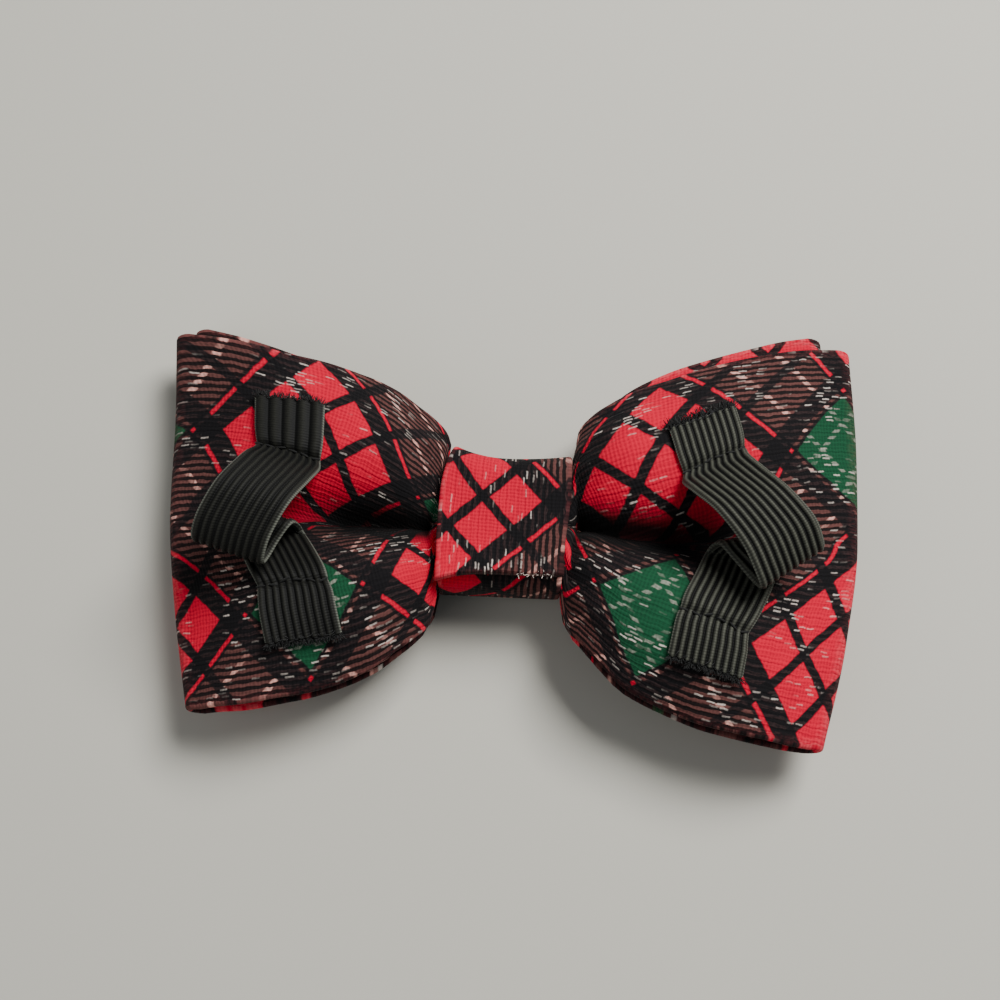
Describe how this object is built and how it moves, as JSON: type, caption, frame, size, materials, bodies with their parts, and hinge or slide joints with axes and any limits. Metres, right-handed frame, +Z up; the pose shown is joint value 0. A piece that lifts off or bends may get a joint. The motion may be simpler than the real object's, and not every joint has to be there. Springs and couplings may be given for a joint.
{
  "type": "pet bow tie",
  "caption": "Slide-on pet bow tie of stacked tartan cotton bows gathered by a wrapped knot, lying on its face, with elastic loops on its back for a collar",
  "frame": {"origin": "centre of the bounding box in X and Y, on the surface the bow lies on", "axes": "+X along the bow, +Y across it towards the wings' upper rims as it lies, +Z up, from the decorated front to the back with the elastic loops"},
  "size_m": [0.0982, 0.0604, 0.0233],
  "materials": {
    "tartan_cotton": "plain-weave tartan cotton, matt",
    "ribbed_elastic": "black ribbed woven elastic, dull sheen"
  },
  "bodies": {
    "root": {"back_bow": "tartan_cotton", "front_bow": "tartan_cotton", "knot_wrap": "tartan_cotton", "elastic_loop_left": "ribbed_elastic", "elastic_loop_right": "ribbed_elastic"}
  },
  "joints": []
}
